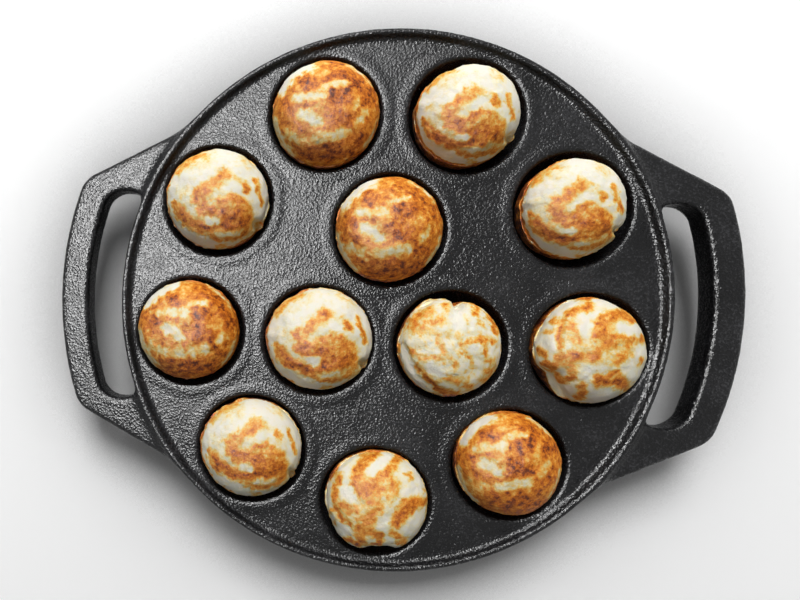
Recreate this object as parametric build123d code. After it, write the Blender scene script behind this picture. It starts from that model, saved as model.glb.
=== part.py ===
from build123d import *
from collections import namedtuple
from math import cos, radians, sin, sqrt, tan
import os

# A cast-iron paniyaram pan, with the twelve paniyarams that lie in its pits.
# The pan is one piece of iron. It is written here as the parts that it is made up of, which
# meet face to face: the rim, the middle of the deck, twelve cups and two loop handles. The
# outer cups have their share of the deck round them.
# Millimetres. Z is up, the cups' feet stand on z = 0, and X runs from handle to handle.

# Casting, across
RIM_RADIUS = 114.3          # outside of the rim: a nine-inch pan
RIM_DRAFT = 0.8             # how far the outer side draws in towards the crest
RIM_CREST = 2.0             # width of the rim's flat crest
RIM_SLOPE = 1.1             # width of the sloped inner side, for draft
RIM_HEIGHT = 3.0            # crest above the deck
SKIRT_WIDTH = 4.4           # rim wall below the deck
SKIRT_DEPTH = 10.0          # from the deck to the skirt's lower edge
PLATE = 4.5                 # thickness of the deck
MIDDLE_RADIUS = 58.2        # the deck's middle, up to the outer cups' share
SHARE_RADIUS = 109.6        # the outer cups' share, up to the rim

# Pits
RING_RADIUS = 84.4          # centres of the nine outer pits
INNER_RADIUS = 31.9         # centres of the three inner pits
OUTER_COUNT = 9
INNER_COUNT = 3
FIRST_OUTER = 110.0         # degrees from +X, numbered clockwise seen from above
FIRST_INNER = 90.0
BOWL_RADIUS = 23.3          # the pit is part of a sphere
BOWL_RISE = 0.5             # the sphere's centre above the deck
LIP_RADIUS = 1.4            # rounding of the pit's mouth
WALL = 4.0                  # metal round the pit
FOOT_RADIUS = 8.0           # flat that each cup stands on
FLOOR = 4.2                 # metal under the pit's flat floor

# Handles
HANDLE_REACH = 142.0        # outer edge, an arc about the pan's axis
HANDLE_SIDE_X = 112.0       # a point on the handle's straight side
HANDLE_SIDE_Y = 60.8
HANDLE_SIDE_ANGLE = 27.0    # the side's slope against X
HANDLE_CORNER = 13.0
HANDLE_BLEND = 28.0         # where the side runs into the rim
HANDLE_THICKNESS = 10.0
HANDLE_TOP = 1.0            # above the deck
HANDLE_EDGE = 2.0           # rounding of the grip
SLOT_REACH = 129.5          # outer side of the finger slot
SLOT_HALF_LENGTH = 45.5
SLOT_OUTER_CORNER = 9.0
SLOT_INNER_CORNER = 4.0
JOIN = 3.3                  # how far the handles run into the rim wall
SINK = 0.3                  # the handles' own ring lies this far inside the rim's face

# Paniyarams
SEAT_GAP = 0.3              # under the paniyaram, above the pit's floor
FRINGE = 0.7                # thin fried edge that stands out below the crown
FRINGE_HEIGHT = 1.6
LEDGE = 0.6                 # flat on top of the fringe, round the crown
MIDDLE_RISE = 0.4           # widest level, above the deck
FLATTENED = 1.4             # how much of the round underside the floor cuts off
SHOULDER = 0.66             # radius of a dome's shoulder, as a share of its height
TUCK = 50.0                 # how far the shoulder runs on below the widest level, in degrees

# Worked out from the sizes above
CUP_RADIUS = BOWL_RADIUS + WALL
DECK = sqrt(CUP_RADIUS**2 - FOOT_RADIUS**2) - BOWL_RISE
CREST = DECK + RIM_HEIGHT
CENTRE = DECK + BOWL_RISE
UNDERSIDE = DECK - PLATE

# A paniyaram is a round body that fills its pit and a crown of one or more lobes.
# Each lobe stands at a bearing and an offset from the middle of the pit, is as wide and as
# high above the fringe as given, and leans towards its bearing.
Lobe = namedtuple("Lobe", "bearing offset radius height lean")
Paniyaram = namedtuple("Paniyaram", "radius lobes")


def plump(radius, height, bearing):
    """One smooth dome."""
    return Paniyaram(radius, [Lobe(bearing, 0.0, radius - FRINGE - LEDGE, height, 3.0)])


def bitten(radius, height, bearing):
    """A dome whose edge falls away on one side, at the bearing."""
    main = Lobe(bearing + 180.0, 1.2, radius - 1.8, height, 2.0)
    left = Lobe(bearing + 62.0, 3.6, radius - 3.6, height - 1.4, 4.0)
    right = Lobe(bearing - 58.0, 3.4, radius - 3.4, height - 1.2, 4.0)
    return Paniyaram(radius - 1.8, [main, left, right])


def cleft(radius, height, bearing):
    """Two domes run into a third, with a cleft between them at the bearing."""
    left = Lobe(bearing + 45.0, 7.6, radius - 8.0, height - 0.8, 3.0)
    right = Lobe(bearing - 43.0, 7.8, radius - 8.0, height - 1.2, 3.0)
    belly = Lobe(bearing + 180.0, 1.7, radius - 2.5, height, 2.0)
    return Paniyaram(radius - 3.6, [left, right, belly])


# Clockwise round the outer ring, then the three inner ones
PANIYARAMS = [
    plump(22.7, 14.0, 120.0),
    plump(21.6, 13.2, 40.0),
    plump(21.4, 13.0, 20.0),
    bitten(22.4, 12.8, 235.0),
    plump(22.0, 13.8, 140.0),
    bitten(21.9, 12.6, 285.0),
    plump(21.7, 13.4, 60.0),
    plump(22.3, 13.8, 150.0),
    plump(21.9, 13.2, 30.0),
    plump(22.5, 14.2, 100.0),
    cleft(21.6, 12.8, 85.0),
    plump(22.2, 13.4, 50.0),
]


def pit_centres():
    """Middle of each pit, the outer ring first."""
    outer = [(RING_RADIUS, FIRST_OUTER - 360.0 / OUTER_COUNT * i) for i in range(OUTER_COUNT)]
    inner = [(INNER_RADIUS, FIRST_INNER - 360.0 / INNER_COUNT * i) for i in range(INNER_COUNT)]
    return [(r * cos(radians(a)), r * sin(radians(a))) for r, a in outer + inner]


def turned(profile):
    """Solid of revolution about Z from a closed profile in the XZ plane."""
    return revolve(Plane.XZ * make_face(profile), Axis.Z)


def disc():
    """Deck, rim and skirt as one turned section, with rounded casting edges."""
    crest_out = RIM_RADIUS - RIM_DRAFT
    crest_in = crest_out - RIM_CREST
    deck_edge = crest_in - RIM_SLOPE
    skirt_in = RIM_RADIUS - SKIRT_WIDTH
    skirt_foot = DECK - SKIRT_DEPTH
    section = make_face(Polyline(
        (0, UNDERSIDE), (0, DECK), (deck_edge, DECK), (crest_in, CREST), (crest_out, CREST),
        (RIM_RADIUS, DECK), (RIM_RADIUS, skirt_foot), (skirt_in + 0.6, skirt_foot),
        (skirt_in, UNDERSIDE), close=True))
    section = fillet(section.vertices().filter_by(lambda v: v.Y > CREST - 0.1), 0.9)
    section = fillet(section.vertices().filter_by(lambda v: abs(v.X - deck_edge) < 0.1), 1.0)
    section = fillet(section.vertices().filter_by(lambda v: v.Y < skirt_foot + 0.1), 1.0)
    section = fillet(section.vertices().filter_by(lambda v: abs(v.X - skirt_in) < 0.1), 2.0)
    return revolve(Plane.XZ * section, Axis.Z)


def cup():
    """Outside of one cup: part of a sphere, cut flat at its foot."""
    top = DECK - 1
    top_radius = sqrt(CUP_RADIUS**2 - (CENTRE - top)**2)
    return turned([
        Line((0, top), (0, 0)),
        Line((0, 0), (FOOT_RADIUS, 0)),
        RadiusArc((FOOT_RADIUS, 0), (top_radius, top), -CUP_RADIUS),
        Line((top_radius, top), (0, top)),
    ])


def pit():
    """Space inside one cup: flat floor, spherical wall and a mouth rounded into the deck."""
    floor_radius = sqrt(BOWL_RADIUS**2 - (CENTRE - FLOOR)**2)
    # The lip's centre lies one lip radius outside the sphere and below the deck.
    lip_drop = BOWL_RISE + LIP_RADIUS
    lip_x = sqrt((BOWL_RADIUS + LIP_RADIUS)**2 - lip_drop**2)
    touch = BOWL_RADIUS / (BOWL_RADIUS + LIP_RADIUS)
    low = (lip_x * touch, CENTRE - lip_drop * touch)
    high = (lip_x, DECK)
    top = CREST + 1
    outline = [
        Line((0, top), (0, FLOOR)),
        Line((0, FLOOR), (floor_radius, FLOOR)),
        RadiusArc((floor_radius, FLOOR), low, -BOWL_RADIUS),
        RadiusArc(low, high, LIP_RADIUS),
        Line(high, (lip_x, top)),
        Line((lip_x, top), (0, top)),
    ]
    return turned(outline)


def handle_plan():
    """Plan of both loop handles outside the rim, with their finger slots."""
    slope = tan(radians(HANDLE_SIDE_ANGLE))
    inside = 60.0
    beyond = HANDLE_REACH + 10
    y_inside = HANDLE_SIDE_Y + (HANDLE_SIDE_X - inside) * slope
    y_beyond = HANDLE_SIDE_Y + (HANDLE_SIDE_X - beyond) * slope
    plan = Circle(RIM_RADIUS - SINK)
    for side in (1, -1):
        wedge = make_face(Polyline(
            (side * inside, y_inside), (side * beyond, y_beyond), (side * beyond, -y_beyond),
            (side * inside, -y_inside), close=True))
        plan += wedge & Circle(HANDLE_REACH)
    distance = lambda v: sqrt(v.X**2 + v.Y**2)
    plan = fillet(plan.vertices().filter_by(lambda v: distance(v) > HANDLE_REACH - 0.5), HANDLE_CORNER)
    plan = fillet(plan.vertices().filter_by(lambda v: distance(v) < RIM_RADIUS + 0.5 and abs(v.Y) > 20),
                  HANDLE_BLEND)
    return plan - Circle(RIM_RADIUS - JOIN) - finger_slots()


def finger_slots():
    """The two curved slots between the grips and the rim."""
    ring = Circle(SLOT_REACH) - Circle(RIM_RADIUS - SINK)
    slots = Sketch()
    for side in (1, -1):
        slot = ring & (Pos(side * RIM_RADIUS, 0) * Rectangle(80, 2 * SLOT_HALF_LENGTH))
        distance = lambda v: sqrt(v.X**2 + v.Y**2)
        slot = fillet(slot.vertices().filter_by(lambda v: distance(v) > SLOT_REACH - 1), SLOT_OUTER_CORNER)
        slot = fillet(slot.vertices().filter_by(lambda v: distance(v) < RIM_RADIUS), SLOT_INNER_CORNER)
        slots += slot
    return slots


def handles():
    """Both handles, with the grips' long edges rounded."""
    top = DECK + HANDLE_TOP
    bars = extrude(Pos(0, 0, top - HANDLE_THICKNESS) * handle_plan(), HANDLE_THICKNESS)
    inner_wall = RIM_RADIUS - JOIN + 0.2
    outside = lambda e: (e @ 0.5).X**2 + (e @ 0.5).Y**2 > inner_wall**2
    edges = bars.edges().filter_by(lambda e: abs((e @ 0).Z - (e @ 1).Z) < 0.01 and outside(e))
    return fillet(edges, HANDLE_EDGE)


def upright(plan):
    """Prism through the whole height of the pan, to cut it by."""
    return extrude(plan, CREST + 1)


def deck_share(number):
    """Plan of the deck round one outer cup, between the middle and the rim."""
    half = 180.0 / OUTER_COUNT
    far = RIM_RADIUS / cos(radians(half))
    bearing = FIRST_OUTER - 360.0 / OUTER_COUNT * number
    wedge = make_face(Polyline(
        (0, 0), (far * cos(radians(half)), far * sin(radians(half))),
        (far * cos(radians(half)), -far * sin(radians(half))), close=True))
    return (Rot(0, 0, bearing) * wedge & Circle(SHARE_RADIUS)) - Circle(MIDDLE_RADIUS)


def pan():
    """The casting's parts by name, cut to meet without a gap or an overlap."""
    whole_disc = disc()
    holes = [Pos(x, y) * pit() for x, y in pit_centres()]
    middle = whole_disc & upright(Circle(MIDDLE_RADIUS))
    rim = whole_disc - upright(Circle(SHARE_RADIUS))
    parts = {"pan_deck": middle - holes[OUTER_COUNT:], "rim": rim}
    for number, ((x, y), hole) in enumerate(zip(pit_centres(), holes)):
        if number < OUTER_COUNT:
            share = whole_disc & upright(deck_share(number))
            solid = share + Pos(x, y) * cup() - middle - rim - hole
        else:
            solid = Pos(x, y) * cup() - whole_disc - hole
        parts[f"cup_{number + 1:02d}"] = solid
    left, right = (handles() - whole_disc).solids().sort_by(Axis.X)
    parts["handle_left"] = left
    parts["handle_right"] = right
    return parts


def dome(radius, height):
    """Turned dome on z = 0: a flat arc over the top, a rounder shoulder that runs on below."""
    shoulder = SHOULDER * height
    inset = radius - shoulder
    over = (inset**2 + height**2 - shoulder**2) / (2 * (height - shoulder))
    outward = inset / (over - shoulder)
    upward = (over - height) / (over - shoulder)
    meet = (inset + shoulder * outward, shoulder * upward)
    low = (inset + shoulder * cos(radians(TUCK)), -shoulder * sin(radians(TUCK)))
    return turned([
        RadiusArc((0, height), meet, over),
        RadiusArc(meet, low, shoulder),
        Line(low, (0, low[1])),
        Line((0, low[1]), (0, height)),
    ])


def lobe(shape):
    """One dome of the crown, set beside the middle and leaning a little."""
    x = shape.offset * cos(radians(shape.bearing))
    y = shape.offset * sin(radians(shape.bearing))
    tilt = Rot(0, 0, shape.bearing) * Rot(0, shape.lean, 0)
    return Pos(x, y, DECK + FRINGE_HEIGHT) * tilt * dome(shape.radius, shape.height)


def paniyaram(shape):
    """One paniyaram: a body that fills its pit, a thin fried fringe and a domed crown."""
    bottom = FLOOR + SEAT_GAP
    middle = DECK + MIDDLE_RISE
    fringe_top = DECK + FRINGE_HEIGHT
    crown_radius = shape.radius - FRINGE
    # The underside is part of a sphere. The floor has cut it flat, and the side above is upright.
    sphere_middle = bottom - FLATTENED + shape.radius
    foot = sqrt(shape.radius**2 - (shape.radius - FLATTENED)**2)
    outline = [
        Line((0, fringe_top), (0, bottom)),
        Line((0, bottom), (foot, bottom)),
        RadiusArc((foot, bottom), (shape.radius, sphere_middle), -shape.radius),
        Line((shape.radius, sphere_middle), (shape.radius, middle)),
        RadiusArc((shape.radius, middle), (crown_radius, fringe_top), -FRINGE_HEIGHT),
        Line((crown_radius, fringe_top), (0, fringe_top)),
    ]
    return turned(outline) + [lobe(each) for each in shape.lobes]


os.makedirs("parts", exist_ok=True)
for name, solid in pan().items():
    export_step(solid, f"parts/{name}.step")
for number, ((x, y), shape) in enumerate(zip(pit_centres(), PANIYARAMS), start=1):
    export_step(Pos(x, y) * paniyaram(shape), f"parts/paniyaram_{number:02d}.step")
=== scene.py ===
import math
from collections import namedtuple
from itertools import product

import bpy
import numpy as np
from mathutils import Matrix, Vector, noise


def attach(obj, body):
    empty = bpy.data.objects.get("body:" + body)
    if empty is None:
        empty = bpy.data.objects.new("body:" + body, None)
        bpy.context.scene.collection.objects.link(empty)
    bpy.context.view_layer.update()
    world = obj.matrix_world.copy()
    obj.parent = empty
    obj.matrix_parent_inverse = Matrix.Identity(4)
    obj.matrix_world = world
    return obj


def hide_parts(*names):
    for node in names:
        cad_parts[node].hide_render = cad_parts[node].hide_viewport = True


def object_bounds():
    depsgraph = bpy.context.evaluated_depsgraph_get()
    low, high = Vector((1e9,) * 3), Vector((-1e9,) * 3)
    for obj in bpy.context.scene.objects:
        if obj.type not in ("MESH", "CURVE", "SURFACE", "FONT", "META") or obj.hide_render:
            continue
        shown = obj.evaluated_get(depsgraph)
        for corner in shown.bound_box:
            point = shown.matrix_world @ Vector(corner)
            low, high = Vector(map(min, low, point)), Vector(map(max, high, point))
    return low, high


# A cast-iron paniyaram pan with twelve paniyarams in its pits, seen from almost overhead.
# Names ending in MM hold millimetres, and everything that goes to Blender is in metres.

MM = 0.001

# Camera: above the deck's left half, a little tilted, turned as the pan is in the picture
PICTURE_WIDTH = 800
PICTURE_HEIGHT = 600
SENSOR_MM = 36.0
FOCAL_PIXELS = 500.0
CENTRE_COLUMN = 255.0       # pixel that the lens axis meets
CENTRE_ROW = 325.0
EYE_MM = Vector((-37.9, 0.2, 215.5))   # from the deck's middle, before the turn
TURN = math.radians(2.49)
TILT = math.radians(5.14)
TILT_BEARING = math.radians(115.9)

# Sizes of the casting, as in the construction
OUTER_PITS = 9
INNER_PITS = 3
RING_MM = 84.4
INNER_RING_MM = 31.9
FIRST_OUTER = math.radians(110.0)
FIRST_INNER = math.radians(90.0)
DECK_MM = 25.6
CREST_MM = 28.6
RIM_MM = 114.2
CREST_OUTER_MM = 113.4      # the rim's outer side draws in towards its crest
CREST_INNER_MM = 111.5
DECK_EDGE_MM = 110.4
SKIRT_INNER_MM = 109.9
SKIRT_FOOT_MM = 15.6
PLATE_MM = 4.5
BOWL_MM = 23.3
BOWL_RISE_MM = 0.5
FLOOR_MM = 4.2
WALL_MM = 4.0
LIP_MM = 1.4
HANDLE_REACH_MM = 141.9
HANDLE_SIDE_MM = Vector((112.0, 60.8))
HANDLE_SIDE_ANGLE = math.radians(27.0)
HANDLE_CORNER_MM = 3.3      # of a shallow corner, so the arc is longer than this
HANDLE_TOP_MM = 26.6
HANDLE_FOOT_MM = 16.6
HANDLE_EDGE_MM = 2.0
HANDLE_START_MM = 112.4     # least distance from the axis
HANDLE_ROOT_MM = 60.0       # least distance from the pan's middle line
SLOT_REACH_MM = 129.5
SLOT_HALF_MM = 45.5
SLOT_CORNER_MM = 6.0
SLOT_START_MM = 110.3       # the slots' inner ends round off towards this radius
SLOT_INNER_CORNER_MM = 12.0
HANDLE_BLEND_MM = 4.0
CUP_BLEND_MM = 3.0
RIM_BLEND_MM = 1.6
EDGE_MM = 0.9
CUP_SUNK_MM = 1.0           # the cups' walls end this far below the deck's top, inside its plate
GRID_MM = 1.0
UNEVEN_MM = 0.09
UNEVEN_SPAN_MM = 9.0

# Stage and light. A light's place, aim and size are in metres, and its power is in watts.
Light = namedtuple("Light", "name place aim size power")

KEY = Light("key", (-0.06, 0.77, 0.82), (0, 0, 0.02), (0.50, 0.50), 13.3)
PANEL = Light("panel", (-0.34, 0.17, 0.80), (-0.34, 0.17, 0), (0.44, 0.60), 45.0)
SKY = 0.10                  # strength of the sky as a light
FLOOR_REACH = 0.7           # half the floor's side, in metres
FLOOR_TONE = 0.60           # the floor's colour, for light that falls on things
FLOOR_SEEN = 1.15           # and as the camera sees it
FLOOR_GLOW = 0.10           # what the floor gives off towards the camera
SHADE_REACH = 0.12          # how near the pan darkens the floor, in metres
SHADE = ((0.25, 0.22), (0.60, 0.34), (0.85, 0.54), (0.945, 1.0))    # how open a place is, and its tone

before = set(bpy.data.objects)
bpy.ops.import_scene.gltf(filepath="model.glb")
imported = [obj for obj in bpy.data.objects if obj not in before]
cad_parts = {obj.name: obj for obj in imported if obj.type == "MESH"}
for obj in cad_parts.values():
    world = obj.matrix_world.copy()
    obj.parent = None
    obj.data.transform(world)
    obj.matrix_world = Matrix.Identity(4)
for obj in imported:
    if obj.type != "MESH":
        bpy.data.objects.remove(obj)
cad_low, cad_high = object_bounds()


def new_object(name, verts, faces, body):
    """Smooth mesh object, given in millimetres, that rides on a body."""
    mesh = bpy.data.meshes.new(name)
    mesh.from_pydata((np.asarray(verts) * MM).tolist(), [], [list(face) for face in faces])
    mesh.update()
    mesh.polygons.foreach_set("use_smooth", [True] * len(mesh.polygons))
    obj = bpy.data.objects.new(name, mesh)
    bpy.context.scene.collection.objects.link(obj)
    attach(obj, body)
    return obj


def pit_middles():
    """Plan position of each pit in millimetres, the outer ring first, clockwise."""
    outer = [(RING_MM, FIRST_OUTER - math.tau / OUTER_PITS * i) for i in range(OUTER_PITS)]
    inner = [(INNER_RING_MM, FIRST_INNER - math.tau / INNER_PITS * i) for i in range(INNER_PITS)]
    return [Vector((r * math.cos(a), r * math.sin(a))) for r, a in outer + inner]


# The casting as a distance function, so that its parts run into each other as cast iron does

def both_round(a, b, radius):
    """Inside both shapes, with the edge between them rounded."""
    corner = np.hypot(np.maximum(a + radius, 0), np.maximum(b + radius, 0))
    return np.minimum(np.maximum(a, b), -radius) + corner


def either_soft(a, b, reach):
    """Inside either shape, with a soft fillet between them."""
    share = np.clip(0.5 + 0.5 * (b - a) / reach, 0, 1)
    return b + (a - b) * share - reach * share * (1 - share)


def slab(value, low, high):
    """Inside between two levels."""
    return np.abs(value - (low + high) / 2) - (high - low) / 2


def disc_distance(radius, z):
    """Deck, rim and skirt."""
    plate = np.maximum(radius - CREST_INNER_MM, slab(z, DECK_MM - PLATE_MM, DECK_MM))
    levels = (DECK_MM - PLATE_MM, DECK_MM, CREST_MM)
    inner = np.interp(z, levels, (SKIRT_INNER_MM, DECK_EDGE_MM, CREST_INNER_MM))
    outer = np.interp(z, (DECK_MM, CREST_MM), (RIM_MM, CREST_OUTER_MM))
    wall = np.maximum(inner - radius, radius - outer)
    ring = both_round(wall, slab(z, SKIRT_FOOT_MM, CREST_MM), EDGE_MM)
    return either_soft(plate, ring, RIM_BLEND_MM)


def handle_distance(x, y, z, radius):
    """Both loop handles, whose sides run on to the rim."""
    across, along = np.abs(x), np.abs(y)
    side = (across - HANDLE_SIDE_MM.x) * math.sin(HANDLE_SIDE_ANGLE)
    side = side + (along - HANDLE_SIDE_MM.y) * math.cos(HANDLE_SIDE_ANGLE)
    plan = both_round(side, radius - HANDLE_REACH_MM, HANDLE_CORNER_MM)
    slot = both_round(radius - SLOT_REACH_MM, along - SLOT_HALF_MM, SLOT_CORNER_MM)
    slot = both_round(slot, SLOT_START_MM - radius, SLOT_INNER_CORNER_MM)
    root = np.maximum(HANDLE_START_MM - radius, HANDLE_ROOT_MM - across)
    loop = np.maximum(np.maximum(plan, -slot), root)
    return both_round(loop, slab(z, HANDLE_FOOT_MM, HANDLE_TOP_MM), HANDLE_EDGE_MM)


def casting_distance(x, y, z):
    """Distance in millimetres to the casting's surface, negative inside the iron."""
    radius = np.hypot(x, y)
    body = disc_distance(radius, z)
    body = either_soft(body, handle_distance(x, y, z, radius), HANDLE_BLEND_MM)
    rise = (z - DECK_MM - BOWL_RISE_MM)**2
    cups = np.full(np.shape(x), np.inf)
    for middle in pit_middles():
        cups = np.minimum(cups, (x - middle.x)**2 + (y - middle.y)**2)
    to_centre = np.sqrt(cups + rise)
    cup = both_round(to_centre - BOWL_MM - WALL_MM, slab(z, 0, DECK_MM - CUP_SUNK_MM), EDGE_MM)
    body = either_soft(body, cup, CUP_BLEND_MM)
    pit = both_round(to_centre - BOWL_MM, FLOOR_MM - z, EDGE_MM)
    return both_round(body, -pit, LIP_MM)


# Steps to the four cells round a grid edge, in turn
ROUND_AN_EDGE = ((0, 0), (-1, 0), (-1, -1), (0, -1))


def crossed_edges(field, axis):
    """Grid edges along an axis that the surface crosses.

    Gives where each starts, how far along it the surface is, and whether it starts inside.
    """
    low = [slice(None)] * 3
    high = [slice(None)] * 3
    low[axis] = slice(0, -1)
    high[axis] = slice(1, None)
    a, b = field[tuple(low)], field[tuple(high)]
    crossed = (a < 0) != (b < 0)
    a, b = a[crossed], b[crossed]
    return np.argwhere(crossed), a / (a - b), a < 0


def cells_beside(where, axis, steps):
    """Cells on one side of the grid edges that start at these points."""
    cells = where.copy()
    cells[:, (axis + 1) % 3] += steps[0]
    cells[:, (axis + 2) % 3] += steps[1]
    return cells


def surface_net(field, origin, step):
    """Quads along the zero of a sampled field: one vertex in each cell that it crosses."""
    shape = np.array(field.shape) - 1
    total = np.zeros((*shape, 3), np.float32)
    count = np.zeros(shape, np.float32)
    edges = [crossed_edges(field, axis) for axis in range(3)]
    for axis, (where, share, _) in enumerate(edges):
        point = where.astype(np.float32)
        point[:, axis] += share
        for steps in product((0, -1), repeat=2):
            cells = cells_beside(where, axis, steps)
            ok = ((cells >= 0) & (cells < shape)).all(axis=1)
            key = tuple(cells[ok].T)
            np.add.at(total, key, point[ok])
            np.add.at(count, key, 1)
    used = count > 0
    index = np.full(shape, -1, np.int64)
    index[used] = np.arange(used.sum())
    verts = origin + total[used] / count[used][:, None] * step
    faces = []
    for axis, (where, _, starts_inside) in enumerate(edges):
        corners = [index[tuple(cells_beside(where, axis, steps).T)] for steps in ROUND_AN_EDGE]
        quads = np.stack(corners, axis=1)
        quads[~starts_inside] = quads[~starts_inside][:, ::-1]
        faces.append(quads)
    return verts, np.concatenate(faces)


def settle(verts, distance, rounds=3):
    """Moves points onto the surface, and returns them with the outward direction at each."""
    nudge = 0.05            # in millimetres
    least_slope = 0.3
    stride = 0.9            # share of the way to the surface that each round goes
    for _ in range(rounds):
        here = distance(*verts.T)
        slope = np.stack([distance(*(verts + nudge * axis).T) - distance(*(verts - nudge * axis).T)
                          for axis in np.eye(3)], axis=1) / (2 * nudge)
        length = np.maximum(np.linalg.norm(slope, axis=1), least_slope)
        verts = verts - slope * (here / length**2)[:, None] * stride
    return verts, slope / length[:, None]


def make_casting():
    """The pan as one continuous piece of sand-cast iron."""
    low = np.array([cad_low.x, cad_low.y, cad_low.z]) / MM - 2 * GRID_MM
    high = np.array([cad_high.x, cad_high.y, CREST_MM * MM]) / MM + 2 * GRID_MM
    axes = [np.arange(a, b, GRID_MM) for a, b in zip(low, high)]
    grid = np.meshgrid(*axes, indexing="ij")
    field = casting_distance(*grid).astype(np.float32)
    verts, faces = surface_net(field, low, GRID_MM)
    verts, outward = settle(verts, casting_distance)
    # Unevenness only takes iron away, so that nothing grows out of the construction
    lumps = np.array([noise.fractal(Vector(v) / UNEVEN_SPAN_MM, 1.0, 2.0, 2) for v in verts])
    verts = verts - outward * (UNEVEN_MM * np.clip(lumps + 0.5, 0, 1.5))[:, None]
    obj = new_object("pan_casting", verts, faces, "pan")
    cups = [f"cup_{number:02d}" for number in range(1, OUTER_PITS + INNER_PITS + 1)]
    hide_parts("rim", "pan_deck", "handle_left", "handle_right", *cups)
    return obj


# Paniyarams. Marks and creases are in shares of the radius from the middle, x to the right of
# the picture and y up, before the turn, and each is a line of a given half width. A kind has a
# tone between its marks, how strongly noise mottles it, and marks that only darken its thin edge.

Mark = namedtuple("Mark", "tone width points")          # tone: 0 is cream, 1 is dark brown
Crease = namedtuple("Crease", "depth width points")     # depth in millimetres
Dent = namedtuple("Dent", "bearing depth width")        # of the outline: degrees, share, degrees
Kind = namedtuple("Kind", "base mottle dents creases fringe marks")
Paniyaram = namedtuple("Paniyaram", "kind radius stretch height shift turn")

SEGMENTS = 150
UNDER_RINGS = 16
FRINGE_RINGS = 3
CROWN_START = UNDER_RINGS + FRINGE_RINGS
CROWN_RINGS = 56
BOTTOM_MM = 4.5
FLATTENED_MM = 1.4          # how much of the round underside the pit's floor cuts off
UNDER_SHARE = 0.985         # radius of the underside, as a share of the crown's
CROWN_MM = 26.8             # widest level of the crown
CROWN_INSET_MM = 0.6        # how far the crown there stays inside its given radius
SQUARENESS = 0.95           # 1 is an ellipse
TUCK = math.radians(9)      # how far the crown runs on below its widest level
FRINGE_MM = 25.3            # level of the thin fried edge
FRINGE_THICK_MM = 0.45      # thickness of the edge
FRINGE_UNDER_MM = 0.2       # how far below it the edge starts to flare out
FRINGE_START_MM = 0.05      # and how far beyond the crown
FRINGE_OUT_MM = 0.15        # least reach of the edge beyond the crown
FRINGE_RAGGED_MM = 0.50     # how much further noise takes it
FRINGE_WAVE_MM = 0.3        # how far noise takes it up and down
FRINGE_TAPER_MM = 0.15      # how far its top stays back
CLEAR_MM = 0.15             # least gap to the pit's wall
MOUTH_MM = 1.2              # from this far above the deck a crown may lean out over it
LEAN_MM = 2.0               # how far past the bowl's radius it may then reach

# Noise on the paniyarams: how far it moves the surface, how wide its lumps are, and how it browns
CROWN_LUMP_MM = 0.42
CROWN_PIT_MM = 0.09
UNDER_LUMP_MM = 0.12
LUMP_SPAN_MM = 7.0
PIT_SPAN_MM = 1.7
WARP_SPAN_MM = 2.4
RAGGED_SPAN_MM = 1.1
RAGGED_RADIUS_MM = 9.0      # of the circle through the noise that gives the ragged edge
WARP = 0.045                # how far noise moves the marks' edges, as a share of the radius
WARP_MOTTLE = 0.7           # how much each of two noises counts in the mottling
PIT_MOTTLE = 0.5
UNDER_TONE = 0.90           # tone below the fringe, and how strongly noise mottles it
UNDER_MOTTLE = 0.15
EDGE_FROM_CROWN = 0.7       # how much the thin edge takes its tone from the crown
MARK_FULL = 0.3             # a mark covers fully this near its line, in half widths
MARK_END = 2.1              # and not at all from here


def arc(radius, start, end, count=9):
    """Points along a circle about the middle, between two bearings in degrees."""
    turns = [math.radians(start + (end - start) * i / (count - 1)) for i in range(count)]
    return [(radius * math.cos(a), radius * math.sin(a)) for a in turns]


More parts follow.
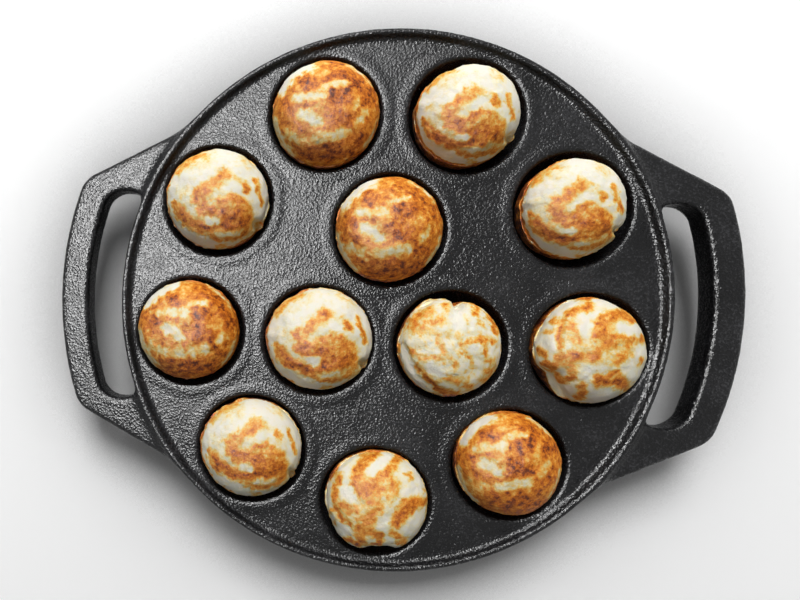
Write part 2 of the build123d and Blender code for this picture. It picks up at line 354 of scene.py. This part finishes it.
PALE = Kind(
    base=0.08, mottle=0.17,
    dents=[Dent(118, 0.030, 6), Dent(132, 0.012, 14), Dent(174, -0.030, 5), Dent(-29, 0.025, 5)],
    creases=[Crease(1.6, 0.055, [(0.88, -0.48), (0.80, -0.44)]),
             Crease(0.35, 0.05, [(-0.30, 0.83), (-0.20, 0.99)])],
    fringe=[Mark(0.74, 0.035, arc(1.0, 95, 255, 17)), Mark(0.60, 0.03, arc(1.0, 255, 335))],
    marks=[
        Mark(0.27, 0.13, [(-0.55, 0.62), (-0.28, 0.75)]),
        Mark(0.24, 0.10, [(-0.66, 0.12), (-0.60, -0.08)]),
        Mark(0.26, 0.08, [(0.42, 0.80), (0.60, 0.68)]),
        Mark(0.30, 0.06, [(0.20, 0.45), (0.38, 0.37), (0.55, 0.24)]),
        Mark(0.30, 0.20, [(0.10, -0.12), (0.45, -0.12)]),
        Mark(0.32, 0.16, [(0.45, -0.60), (0.80, -0.55)]),
        Mark(0.60, 0.10, [(0.11, 0.45), (-0.08, 0.29), (-0.24, 0.14), (-0.38, 0.05), (-0.32, -0.12)]),
        Mark(0.70, 0.13, [(-0.24, -0.18), (0.02, -0.22), (0.28, -0.28), (0.54, -0.24)]),
        Mark(0.62, 0.07, [(0.10, -0.03), (0.28, 0.05), (0.44, -0.02), (0.56, -0.18)]),
        Mark(0.76, 0.10, [(-0.70, -0.26), (-0.55, -0.42), (-0.30, -0.54), (-0.02, -0.52), (0.28, -0.46),
                          (0.58, -0.38)]),
        Mark(0.12, 0.06, [(-0.14, -0.41), (-0.02, -0.42)]),
        Mark(0.60, 0.045, [(-0.80, -0.10), (-0.70, -0.40)]),
        Mark(0.60, 0.045, [(-0.20, -0.66), (0.05, -0.75), (0.30, -0.75), (0.52, -0.68), (0.68, -0.48)]),
        Mark(0.62, 0.045, [(0.70, 0.38), (0.75, 0.20), (0.82, 0.06), (0.85, -0.05)]),
        Mark(0.66, 0.06, [(0.50, 0.26), (0.53, 0.22)]),
        Mark(0.50, 0.05, arc(0.90, 112, 150)),
        Mark(0.45, 0.04, [(0.08, -0.90), (0.22, -0.90)]),
    ])

BROWNED = Kind(
    base=0.70, mottle=0.20,
    dents=[Dent(200, 0.012, 20), Dent(40, 0.010, 18)],
    creases=[Crease(0.3, 0.12, [(-0.40, 0.02), (-0.12, -0.10)])],
    fringe=[Mark(0.70, 0.03, arc(1.0, -60, 108)), Mark(0.34, 0.03, arc(1.0, 185, 290))],
    marks=[
        Mark(0.50, 0.14, [(-0.15, 0.76), (-0.42, 0.62)]),
        Mark(0.48, 0.08, [(0.52, 0.46), (0.48, 0.16)]),
        Mark(0.40, 0.09, [(-0.66, -0.36), (-0.38, -0.48)]),
        Mark(0.46, 0.10, [(0.20, -0.66), (0.26, -0.78)]),
        Mark(0.48, 0.08, [(-0.10, 0.10), (-0.05, 0.28)]),
        Mark(0.82, 0.12, [(0.08, 0.38), (0.34, 0.34), (0.36, 0.62)]),
        Mark(0.82, 0.10, [(-0.40, 0.60), (-0.28, 0.46)]),
        Mark(0.82, 0.08, [(-0.60, 0.14), (-0.40, 0.17)]),
        Mark(0.82, 0.10, [(0.04, 0.02), (0.16, -0.06)]),
        Mark(0.82, 0.10, [(0.60, 0.50), (0.78, 0.30)]),
        Mark(0.82, 0.16, [(-0.20, -0.66), (0.50, -0.70)]),
        Mark(0.82, 0.10, [(0.46, -0.20), (0.60, -0.40)]),
        Mark(0.14, 0.09, [(-0.42, 0.00), (-0.28, -0.03), (-0.16, -0.14)]),
        Mark(0.26, 0.07, [(-0.54, 0.27), (-0.30, 0.30), (-0.06, 0.32)]),
        Mark(0.30, 0.055, [(-0.02, 0.48), (0.14, 0.53), (0.30, 0.54)]),
        Mark(0.30, 0.085, [(-0.16, -0.44), (0.12, -0.39), (0.36, -0.33)]),
        Mark(0.38, 0.055, [(0.70, 0.02), (0.58, -0.17)]),
        Mark(0.02, 0.085, arc(0.935, 112, 152)),
        Mark(0.22, 0.045, arc(0.97, 35, 68)),
        Mark(0.25, 0.065, arc(0.955, 188, 232)),
        Mark(0.22, 0.055, arc(0.97, -38, -8)),
    ])

MOTTLED = Kind(
    base=0.10, mottle=0.15,
    dents=[Dent(222, 0.130, 20), Dent(212, 0.045, 7), Dent(38, 0.012, 7), Dent(62, 0.014, 8),
           Dent(150, 0.030, 16)],
    creases=[Crease(1.2, 0.10, [(-0.78, -0.60), (-0.52, -0.80)]),
             Crease(0.4, 0.06, [(-0.52, 0.50), (-0.54, 0.10)]),
             Crease(0.4, 0.07, [(0.00, 0.55), (-0.05, 0.20)])],
    fringe=[Mark(0.62, 0.03, arc(1.0, 35, 62)), Mark(0.40, 0.025, arc(1.0, 190, 330))],
    marks=[
        Mark(0.36, 0.15, [(-0.34, 0.42), (-0.26, 0.18)]),
        Mark(0.36, 0.20, [(0.34, 0.50), (0.30, 0.30)]),
        Mark(0.34, 0.14, [(0.40, -0.10), (0.58, 0.02)]),
        Mark(0.32, 0.12, [(-0.10, 0.02), (-0.30, -0.30)]),
        Mark(0.66, 0.075, [(-0.38, 0.62), (-0.22, 0.76), (-0.04, 0.80)]),
        Mark(0.66, 0.05, [(-0.24, 0.96), (-0.06, 0.98)]),
        Mark(0.66, 0.055, [(-0.50, 0.52), (-0.54, 0.30), (-0.50, 0.06)]),
        Mark(0.54, 0.08, [(-0.32, 0.40), (-0.22, 0.22)]),
        Mark(0.68, 0.085, [(0.14, 0.50), (0.30, 0.62), (0.52, 0.70), (0.68, 0.60), (0.74, 0.50)]),
        Mark(0.60, 0.12, [(0.10, 0.32), (0.28, 0.30), (0.36, 0.14)]),
        Mark(0.62, 0.085, [(0.50, 0.30), (0.66, 0.20), (0.90, 0.25)]),
        Mark(0.60, 0.10, [(0.12, 0.02), (0.10, -0.10), (-0.12, -0.12), (-0.34, -0.10), (-0.50, -0.18)]),
        Mark(0.54, 0.08, [(0.48, -0.14), (0.62, -0.04)]),
        Mark(0.78, 0.075, [(-0.74, -0.28), (-0.62, -0.32)]),
        Mark(0.70, 0.06, [(-0.90, -0.06), (-0.78, -0.10)]),
        Mark(0.60, 0.05, [(-0.70, 0.52), (-0.62, 0.50)]),
        Mark(0.52, 0.04, [(-0.80, 0.30), (-0.66, 0.34)]),
        Mark(0.66, 0.065, [(-0.30, -0.30), (-0.24, -0.48), (-0.38, -0.55)]),
        Mark(0.66, 0.05, [(-0.52, -0.48), (-0.46, -0.56)]),
        Mark(0.66, 0.065, [(-0.08, -0.62), (-0.06, -0.82), (-0.16, -0.86)]),
        Mark(0.74, 0.10, [(0.18, -0.52), (0.34, -0.50), (0.60, -0.54)]),
        Mark(0.60, 0.05, [(0.44, -0.40), (0.52, -0.36)]),
        Mark(0.66, 0.05, [(0.66, -0.66), (0.74, -0.68)]),
        Mark(0.56, 0.04, [(0.88, -0.10), (0.86, -0.20)]),
        Mark(0.03, 0.09, [(-0.06, 0.52), (-0.08, 0.38)]),
        Mark(0.03, 0.08, [(0.52, 0.42), (0.80, 0.44)]),
    ])

CLEFT = Kind(
    base=0.20, mottle=0.26,
    dents=[Dent(84, 0.150, 7), Dent(85, 0.045, 18), Dent(160, 0.035, 14), Dent(30, 0.012, 20)],
    creases=[Crease(0.5, 0.060, [(0.09, 0.86), (0.08, 0.58)]),
             Crease(0.5, 0.10, [(0.08, 0.58), (0.02, 0.20)]),
             Crease(0.5, 0.06, [(-0.45, 0.95), (-0.62, 0.60)]),
             Crease(0.6, 0.060, [(-0.90, -0.02), (-0.72, -0.34), (-0.48, -0.62), (-0.20, -0.84),
                                 (0.10, -0.96)]),
             Crease(0.35, 0.06, [(0.20, -0.02), (0.44, -0.22), (0.46, -0.50)])],
    fringe=[Mark(0.55, 0.03, arc(1.0, 180, 300))],
    marks=[
        Mark(0.58, 0.09, [(-0.78, 0.38), (-0.62, 0.56), (-0.42, 0.68)]),
        Mark(0.50, 0.10, [(-0.60, 0.30), (-0.40, 0.36), (-0.20, 0.48)]),
        Mark(0.62, 0.06, [(-0.12, 0.76), (-0.03, 0.70)]),
        Mark(0.58, 0.05, [(0.34, 0.90), (0.50, 0.80), (0.44, 0.66)]),
        Mark(0.62, 0.06, [(0.72, 0.70), (0.80, 0.50), (0.86, 0.34)]),
        Mark(0.52, 0.04, [(0.52, 0.50), (0.58, 0.44)]),
        Mark(0.56, 0.045, [(0.22, 0.04), (0.36, 0.14), (0.56, 0.18), (0.80, 0.14)]),
        Mark(0.56, 0.045, [(0.60, 0.14), (0.66, -0.10)]),
        Mark(0.50, 0.035, [(0.24, -0.02), (0.42, -0.20), (0.44, -0.36)]),
        Mark(0.46, 0.045, [(-0.20, 0.20), (-0.10, -0.08), (0.04, -0.20), (0.12, -0.34)]),
        Mark(0.50, 0.06, [(-0.78, -0.08), (-0.60, -0.20), (-0.40, -0.22), (-0.12, -0.26)]),
        Mark(0.50, 0.07, [(0.74, -0.24), (0.84, -0.40), (0.66, -0.60)]),
        Mark(0.70, 0.075, [(-0.56, -0.44), (-0.42, -0.60), (-0.28, -0.74), (-0.06, -0.90), (0.20, -0.94)]),
        Mark(0.52, 0.06, [(-0.10, -0.60), (0.20, -0.60), (0.44, -0.74)]),
        Mark(0.04, 0.10, [(0.10, 0.70), (0.16, 0.46)]),
        Mark(0.06, 0.09, [(-0.30, -0.38), (-0.18, -0.44)]),
        Mark(0.04, 0.085, [(-0.98, 0.02), (-0.84, -0.34), (-0.62, -0.64), (-0.34, -0.88)]),
        Mark(0.26, 0.05, arc(1.0, 200, 262)),
    ])

# Clockwise round the outer ring, then the three inner ones. Height is that of the crown's top above
# the deck, and shift is how far the crown's middle stands from the pit's, both in millimetres, as is
# the radius. Stretch is along x, as a share of the radius, and turn is in degrees.
PANIYARAMS = [
    Paniyaram(BROWNED, 22.1, 0.025, 15.6, (-0.1, -0.6), 0),
    Paniyaram(PALE, 20.5, 0.020, 14.8, (-0.6, -0.4), 0),
    Paniyaram(PALE, 20.2, -0.010, 14.6, (-1.1, 0.1), 2),
    Paniyaram(MOTTLED, 21.6, -0.015, 14.4, (-1.2, -0.3), 0),
    Paniyaram(BROWNED, 21.5, -0.015, 15.4, (-1.3, 1.3), 3),
    Paniyaram(MOTTLED, 21.9, 0.005, 14.2, (0.2, 0.9), 52),
    Paniyaram(PALE, 21.8, 0.025, 15.0, (-0.2, 1.0), 0),
    Paniyaram(BROWNED, 22.0, 0.015, 15.4, (-0.7, 0.6), -3),
    Paniyaram(PALE, 21.8, 0.020, 14.8, (-0.1, 0.3), -2),
    Paniyaram(BROWNED, 22.1, 0.005, 15.8, (-0.7, -0.1), 0),
    Paniyaram(CLEFT, 21.1, 0.005, 14.4, (-1.0, -0.1), 0),
    Paniyaram(PALE, 22.4, 0.015, 15.0, (0.3, 0.6), 2),
]


def cover(x, y, line):
    """How far a mark or crease covers each point, from 0 to 1 with a soft edge."""
    nearest = np.full(np.shape(x), np.inf)
    for (ax, ay), (bx, by) in zip(line.points, line.points[1:]):
        along = ((x - ax) * (bx - ax) + (y - ay) * (by - ay)) / ((bx - ax)**2 + (by - ay)**2)
        along = np.clip(along, 0, 1)
        nearest = np.minimum(nearest, np.hypot(x - ax - along * (bx - ax), y - ay - along * (by - ay)))
    fade = np.clip((MARK_END - nearest / line.width) / (MARK_END - MARK_FULL), 0, 1)
    return fade * fade * (3 - 2 * fade)


def uneven(points, span, octaves, seed):
    """Smooth noise at points in millimetres, about -1 to 1."""
    shift = Vector((17.0, 5.0, 9.0)) * seed
    return np.array([noise.fractal(Vector(p) / span + shift, 0.8, 2.0, octaves) for p in points])


def outline_share(shape, bearing):
    """Radius of the outline at each bearing, as a share of the round one."""
    share = 1 + shape.stretch * np.cos(2 * bearing)
    for dent in shape.kind.dents:
        away = np.degrees(np.angle(np.exp(1j * (bearing - math.radians(dent.bearing)))))
        share = share - dent.depth * np.exp(-(away / dent.width)**2)
    return share


def crown_rise(shape):
    """How far a crown's top is above its widest level."""
    return shape.height - (CROWN_MM - DECK_MM)


def under_rings(shape, share):
    """Rings of the round underside, from the foot up to its widest level."""
    body = shape.radius * UNDER_SHARE
    sphere_middle = BOTTOM_MM - FLATTENED_MM + body
    foot = math.acos((body - FLATTENED_MM) / body)
    rings = []
    for step in np.linspace(0, 1, UNDER_RINGS):
        angle = foot + (math.pi / 2 - foot) * step
        radius = body * math.sin(angle) * (1 + (share - 1) * step**3)
        rings.append((radius, sphere_middle - body * math.cos(angle)))
    return rings


def fringe_rings(shape, share, ragged):
    """Rings of the thin ragged edge."""
    crown = shape.radius * share - CROWN_INSET_MM
    edge = crown + FRINGE_OUT_MM + FRINGE_RAGGED_MM * np.clip(ragged + 0.3, 0, 1.4)
    wave = FRINGE_WAVE_MM * ragged
    return [(crown + FRINGE_START_MM, FRINGE_MM - FRINGE_UNDER_MM),
            (edge, FRINGE_MM + wave),
            (edge - FRINGE_TAPER_MM, FRINGE_MM + FRINGE_THICK_MM + wave)]


def crown_rings(shape, share):
    """Rings of the crown, up to just short of its top."""
    rings = []
    for step in np.linspace(0, 1, CROWN_RINGS, endpoint=False):
        angle = TUCK - (math.pi / 2 + TUCK) * step
        out = math.cos(angle)**SQUARENESS
        up = math.copysign(abs(math.sin(angle))**SQUARENESS, -angle)
        # The outline's dents and stretch fade out towards the top
        radius = shape.radius * out * (1 + (share - 1) * out**2) - CROWN_INSET_MM * out
        rings.append((radius, CROWN_MM + crown_rise(shape) * up))
    return rings


def paniyaram_rings(shape, number):
    """Points of a paniyaram as rings from the foot to the top, before lumps and creases."""
    bearing = np.arange(SEGMENTS) * math.tau / SEGMENTS
    circle = np.stack([np.cos(bearing), np.sin(bearing), np.zeros(SEGMENTS)], axis=1)
    ragged = uneven(circle * RAGGED_RADIUS_MM, RAGGED_SPAN_MM, 3, number)
    share = outline_share(shape, bearing)
    rings = under_rings(shape, share) + fringe_rings(shape, share, ragged) + crown_rings(shape, share)
    level = np.ones(SEGMENTS)
    radius = np.array([level * ring[0] for ring in rings])
    height = np.array([level * ring[1] for ring in rings])
    return np.stack([radius * np.cos(bearing), radius * np.sin(bearing), height], axis=2)


def pit_limit(z):
    """How far from the pit's axis a paniyaram may reach at each height."""
    drop = np.maximum(DECK_MM + BOWL_RISE_MM - z, 0)
    room = np.sqrt(np.maximum(BOWL_MM**2 - drop**2, 1)) - CLEAR_MM
    return np.where(z < DECK_MM + MOUTH_MM, room, BOWL_MM + LEAN_MM)


def seen_from_above(points, shape, middle):
    """Where each point of a crown shows in the picture, as shares of its outline."""
    eye = Matrix.Rotation(TURN, 3, "Z") @ EYE_MM
    lean = np.array([middle.x - eye.x, middle.y - eye.y]) / eye.z
    slant = np.hypot(*lean)
    # Seen at a slant, a crown's outline is longer and lies further out
    spread = math.hypot(shape.radius, crown_rise(shape) * slant) - shape.radius
    flat = points[..., :2] + lean * (points[..., 2:] - CROWN_MM) - lean / slant * spread / 2
    flat = flat / (shape.radius + spread / 4)
    return flat[..., 0], flat[..., 1]


def noise_over(rings, span, octaves, seed):
    """Noise at each point of the rings."""
    return uneven(rings.reshape(-1, 3), span, octaves, seed).reshape(rings.shape[:2])


def lumpy(rings, kind, x, y, lumps, pitted):
    """Rings with lumps and creases on the crown, and shallow hollows below it."""
    move = CROWN_LUMP_MM * lumps + CROWN_PIT_MM * pitted
    for crease in kind.creases:
        move = move - crease.depth * cover(x, y, crease)
    move[:CROWN_START] = -UNDER_LUMP_MM * np.abs(lumps[:CROWN_START])
    around = np.roll(rings, -1, axis=1) - np.roll(rings, 1, axis=1)
    outward = np.cross(around, np.gradient(rings, axis=0))
    outward /= np.maximum(np.linalg.norm(outward, axis=2, keepdims=True), 1e-9)
    drawn = outward * move[..., None]
    # The fringe and the side below it follow the crown's outline
    follow = np.concatenate([np.linspace(0, 1, UNDER_RINGS)**3, np.ones(FRINGE_RINGS)])
    drawn[:CROWN_START, :, :2] = follow[:, None, None] * drawn[CROWN_START, :, :2]
    return rings + drawn


def browning(kind, x, y, warp_x, warp_y, pitted):
    """Tone of each point, from 0, cream, to 1, dark brown."""
    x, y = x + WARP * warp_x, y + WARP * warp_y
    tone = np.full(x.shape, kind.base)
    for mark in kind.marks:
        tone = tone + (mark.tone - tone) * cover(x, y, mark)
    tone = tone + kind.mottle * (WARP_MOTTLE * warp_x + PIT_MOTTLE * pitted)
    for mark in kind.fringe:
        tone = np.maximum(tone, mark.tone * cover(x, y, mark))
    tone[:CROWN_START] = UNDER_TONE + UNDER_MOTTLE * warp_y[:CROWN_START]
    edge = slice(UNDER_RINGS, CROWN_START)
    tone[edge] = (1 - EDGE_FROM_CROWN) * tone[edge] + EDGE_FROM_CROWN * tone[CROWN_START]
    return tone


def seated(rings, shape):
    """Rings turned and shifted as in the picture, and kept off the pit's wall."""
    turn = math.radians(shape.turn)
    cos, sin = math.cos(turn), math.sin(turn)
    spin = np.array([[cos, -sin, 0], [sin, cos, 0], [0, 0, 1]])
    rings = rings @ spin.T
    climb = np.clip((rings[..., 2:] - BOTTOM_MM) / (CROWN_MM - BOTTOM_MM), 0, 1)
    rings[..., :2] += climb * np.array(shape.shift)
    reach = np.maximum(np.hypot(rings[..., 0], rings[..., 1]), 1e-6)
    rings[..., :2] *= np.minimum(1, pit_limit(rings[..., 2]) / reach)[..., None]
    return rings


def closed_faces(ring_count):
    """Quads between rings, and a fan at each end to the two points that come after the rings."""
    here = np.arange(SEGMENTS)
    after = (here + 1) % SEGMENTS
    faces = []
    for low in range(0, (ring_count - 1) * SEGMENTS, SEGMENTS):
        high = low + SEGMENTS
        faces += np.stack([low + here, low + after, high + after, high + here], axis=1).tolist()
    bottom = ring_count * SEGMENTS
    top = bottom + 1
    last = bottom - SEGMENTS
    faces += [(bottom, int(b), int(a)) for a, b in zip(here, after)]
    faces += [(top, int(last + a), int(last + b)) for a, b in zip(here, after)]
    return faces


def make_paniyaram(number, shape, middle):
    """One paniyaram: a round underside, a thin fried edge and a lumpy browned crown."""
    rings = paniyaram_rings(shape, number)
    x, y = seen_from_above(rings, shape, middle)
    # Each of these four noises has seeds of its own
    lumps = noise_over(rings, LUMP_SPAN_MM, 3, number)
    pitted = noise_over(rings, PIT_SPAN_MM, 2, number + 20)
    warp_x = noise_over(rings, WARP_SPAN_MM, 3, number + 40)
    warp_y = noise_over(rings, WARP_SPAN_MM, 3, number + 60)
    tone = browning(shape.kind, x, y, warp_x, warp_y, pitted)
    rings = seated(lumpy(rings, shape.kind, x, y, lumps, pitted), shape)

    poles = [(0, 0, BOTTOM_MM), rings[-1].mean(axis=0)]
    verts = np.concatenate([rings.reshape(-1, 3), poles]) + (middle.x, middle.y, 0)
    tones = np.concatenate([tone.ravel(), [tone[0].mean(), tone[-1].mean()]])
    name = f"paniyaram_{number:02d}"
    obj = new_object(f"fried_{name}", verts, closed_faces(len(rings)), name)
    attribute = obj.data.attributes.new("browned", "FLOAT", "POINT")
    attribute.data.foreach_set("value", np.clip(tones, 0, 1).astype(np.float32))
    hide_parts(name)
    return obj


# Materials

def empty_material(name):
    """Material without a shader, with its nodes and the socket that takes one."""
    material = bpy.data.materials.new(name)
    material.use_nodes = True
    tree = material.node_tree
    tree.nodes.clear()
    output = tree.nodes.new("ShaderNodeOutputMaterial")
    return material, tree, output.inputs["Surface"]


def shaded_material(name):
    """Material with the main shader alone."""
    material, tree, surface = empty_material(name)
    shader = tree.nodes.new("ShaderNodeBsdfPrincipled")
    tree.links.new(shader.outputs["BSDF"], surface)
    return material, tree, shader


def grain(tree, scale, detail, roughness):
    """Noise in object space. Scale is in features per metre."""
    where = tree.nodes.new("ShaderNodeTexCoord")
    texture = tree.nodes.new("ShaderNodeTexNoise")
    texture.inputs["Scale"].default_value = scale
    texture.inputs["Detail"].default_value = detail
    texture.inputs["Roughness"].default_value = roughness
    tree.links.new(where.outputs["Object"], texture.inputs["Vector"])
    return texture.outputs["Fac"]


def grey(level):
    return (level, level, level)


def ramp(tree, value, stops):
    """Colour ramp over a value."""
    node = tree.nodes.new("ShaderNodeValToRGB")
    elements = node.color_ramp.elements
    while len(elements) < len(stops):
        elements.new(0.5)
    for element, (position, colour) in zip(elements, stops):
        element.position = position
        element.color = (*colour, 1)
    tree.links.new(value, node.inputs["Fac"])
    return node.outputs["Color"]


def bump(tree, height, strength, distance):
    """Normal from a height. Distance is in metres."""
    node = tree.nodes.new("ShaderNodeBump")
    node.inputs["Strength"].default_value = strength
    node.inputs["Distance"].default_value = distance
    tree.links.new(height, node.inputs["Height"])
    return node.outputs["Normal"]


def mix_math(tree, operation, *values):
    """Math node over two or three values, each a socket or a number."""
    node = tree.nodes.new("ShaderNodeMath")
    node.operation = operation
    for socket, value in zip(node.inputs, values):
        if isinstance(value, (int, float)):
            socket.default_value = value
        else:
            tree.links.new(value, socket)
    return node.outputs[0]


def iron_material():
    """Seasoned sand-cast iron: near black, with a fine pebbled grain that glints."""
    material, tree, shader = shaded_material("cast_iron")
    sand = grain(tree, scale=1080, detail=1.0, roughness=0.6)
    wide = grain(tree, scale=45, detail=3.0, roughness=0.5)
    speckled = mix_math(tree, "MULTIPLY_ADD", sand, 1.5, wide)
    colour = ramp(tree, mix_math(tree, "MULTIPLY", speckled, 0.5), [
        (0.55, (0.005, 0.005, 0.0055)),
        (0.66, (0.012, 0.012, 0.013)),
        (0.82, (0.040, 0.040, 0.043)),
    ])
    tree.links.new(colour, shader.inputs["Base Color"])
    rough = ramp(tree, sand, [(0.44, grey(0.30)), (0.56, grey(0.11))])
    tree.links.new(rough, shader.inputs["Roughness"])
    shader.inputs["Specular IOR Level"].default_value = 0.16
    pebbles = bump(tree, sand, strength=1.0, distance=0.00037)
    tree.links.new(pebbles, shader.inputs["Normal"])
    return material


def speckle(tree, scale, detail, roughness, amount):
    """Grain about zero."""
    centred = mix_math(tree, "SUBTRACT", grain(tree, scale, detail, roughness), 0.5)
    return mix_math(tree, "MULTIPLY", centred, amount)


def crust_material():
    """Fried batter: cream where it is pale, orange and brown where it met the iron."""
    material, tree, shader = shaded_material("crust")
    browned = tree.nodes.new("ShaderNodeAttribute")
    browned.attribute_name = "browned"
    # Fine grain breaks up the edges of the brown patches, most where they are darkest
    fine = speckle(tree, scale=800, detail=4.0, roughness=0.75, amount=0.75)
    coarse = speckle(tree, scale=330, detail=3.0, roughness=0.6, amount=0.85)
    strength = mix_math(tree, "MULTIPLY_ADD", browned.outputs["Fac"], 1.3, 0.30)
    broken = mix_math(tree, "MULTIPLY", mix_math(tree, "ADD", fine, coarse), strength)
    tone = mix_math(tree, "ADD", browned.outputs["Fac"], broken)
    colour = ramp(tree, tone, [
        (0.08, (0.84, 0.80, 0.68)),
        (0.22, (0.84, 0.76, 0.50)),
        (0.39, (0.84, 0.58, 0.16)),
        (0.54, (0.83, 0.34, 0.035)),
        (0.71, (0.66, 0.185, 0.010)),
        (0.88, (0.40, 0.085, 0.005)),
        (1.00, (0.12, 0.022, 0.003)),
    ])
    tree.links.new(colour, shader.inputs["Base Color"])
    rough = ramp(tree, tone, [(0.1, grey(0.65)), (0.8, grey(0.50))])
    tree.links.new(rough, shader.inputs["Roughness"])
    shader.inputs["Specular IOR Level"].default_value = 0.16
    shader.inputs["Subsurface Weight"].default_value = 0.08
    shader.inputs["Subsurface Radius"].default_value = (0.003, 0.0015, 0.0007)
    pores = bump(tree, grain(tree, scale=1300, detail=3.0, roughness=0.65), strength=0.5, distance=0.0005)
    tree.links.new(pores, shader.inputs["Normal"])
    return material


# Stage, light and camera

def seen_directly(tree):
    """1 for what the camera sees, also mirrored or through glass, and 0 for light on things."""
    path = tree.nodes.new("ShaderNodeLightPath")
    mirrored = mix_math(tree, "MAXIMUM", path.outputs["Is Glossy Ray"], path.outputs["Is Transmission Ray"])
    return mix_math(tree, "MAXIMUM", path.outputs["Is Camera Ray"], mirrored)


def floor_material():
    """Pale floor that the camera sees lighter than it is, so that it is white outside the shadow."""
    material, tree, surface = empty_material("floor")
    diffuse = tree.nodes.new("ShaderNodeBsdfDiffuse")
    glow = tree.nodes.new("ShaderNodeEmission")
    both = tree.nodes.new("ShaderNodeAddShader")
    direct = seen_directly(tree)
    seen = mix_math(tree, "MULTIPLY_ADD", direct, FLOOR_SEEN - FLOOR_TONE, FLOOR_TONE)
    # Painted shadow: close to the pan the floor's colour darkens faster than the soft lights alone make it
    close = tree.nodes.new("ShaderNodeAmbientOcclusion")
    close.samples = 8
    close.inputs["Distance"].default_value = SHADE_REACH
    shade = ramp(tree, close.outputs["AO"], [(openness, grey(level)) for openness, level in SHADE])
    tree.links.new(mix_math(tree, "MULTIPLY", seen, shade), diffuse.inputs["Color"])
    glowing = mix_math(tree, "MULTIPLY", direct, FLOOR_GLOW)
    tree.links.new(mix_math(tree, "MULTIPLY", glowing, shade), glow.inputs["Strength"])
    tree.links.new(diffuse.outputs[0], both.inputs[0])
    tree.links.new(glow.outputs[0], both.inputs[1])
    tree.links.new(both.outputs[0], surface)
    return material


def make_floor():
    """Square floor under the pan."""
    reach = FLOOR_REACH
    corners = [(-reach, -reach, 0), (reach, -reach, 0), (reach, reach, 0), (-reach, reach, 0)]
    mesh = bpy.data.meshes.new("floor")
    mesh.from_pydata(corners, [], [(0, 1, 2, 3)])
    mesh.materials.append(floor_material())
    obj = bpy.data.objects.new("floor", mesh)
    bpy.context.scene.collection.objects.link(obj)


def area_light(light):
    """Rectangular soft light that looks at its aim."""
    data = bpy.data.lights.new(light.name, "AREA")
    data.shape = "RECTANGLE"
    data.size, data.size_y = light.size
    data.energy = light.power
    obj = bpy.data.objects.new(light.name, data)
    obj.location = light.place
    obj.rotation_euler = (Vector(light.aim) - Vector(light.place)).to_track_quat("-Z", "Y").to_euler()
    bpy.context.scene.collection.objects.link(obj)
    return obj


def make_lights():
    """A soft key from behind, and a wide panel that the iron of the left half mirrors."""
    area_light(KEY)
    panel = area_light(PANEL)
    panel.visible_diffuse = False


def make_sky():
    """Dim sky that the camera sees as white."""
    world = bpy.data.worlds.new("world")
    world.use_nodes = True
    tree = world.node_tree
    background = tree.nodes["Background"]
    background.inputs["Color"].default_value = (1, 1, 1, 1)
    seen = mix_math(tree, "MULTIPLY_ADD", seen_directly(tree), 1 - SKY, SKY)
    tree.links.new(seen, background.inputs["Strength"])
    bpy.context.scene.world = world


def make_camera():
    """Camera where the picture was taken from, shifted because its lens axis is off the middle."""
    data = bpy.data.cameras.new("camera")
    data.sensor_width = SENSOR_MM
    data.lens = FOCAL_PIXELS / PICTURE_WIDTH * SENSOR_MM
    data.shift_x = (PICTURE_WIDTH / 2 - CENTRE_COLUMN) / PICTURE_WIDTH
    data.shift_y = (CENTRE_ROW - PICTURE_HEIGHT / 2) / PICTURE_WIDTH
    data.clip_start = 0.01
    obj = bpy.data.objects.new("camera", data)
    turn = Matrix.Rotation(TURN, 4, "Z")
    tilt = Matrix.Rotation(TILT, 4, Vector((math.cos(TILT_BEARING), math.sin(TILT_BEARING), 0)))
    place = turn @ (EYE_MM * MM) + Vector((0, 0, DECK_MM * MM))
    obj.matrix_world = Matrix.Translation(place) @ turn @ tilt
    bpy.context.scene.collection.objects.link(obj)
    bpy.context.scene.camera = obj


casting = make_casting()
casting.data.materials.append(iron_material())
crust = crust_material()
for number, (shape, middle) in enumerate(zip(PANIYARAMS, pit_middles()), start=1):
    make_paniyaram(number, shape, middle).data.materials.append(crust)
make_floor()
make_lights()
make_sky()
make_camera()
bpy.context.scene.view_settings.view_transform = "Standard"
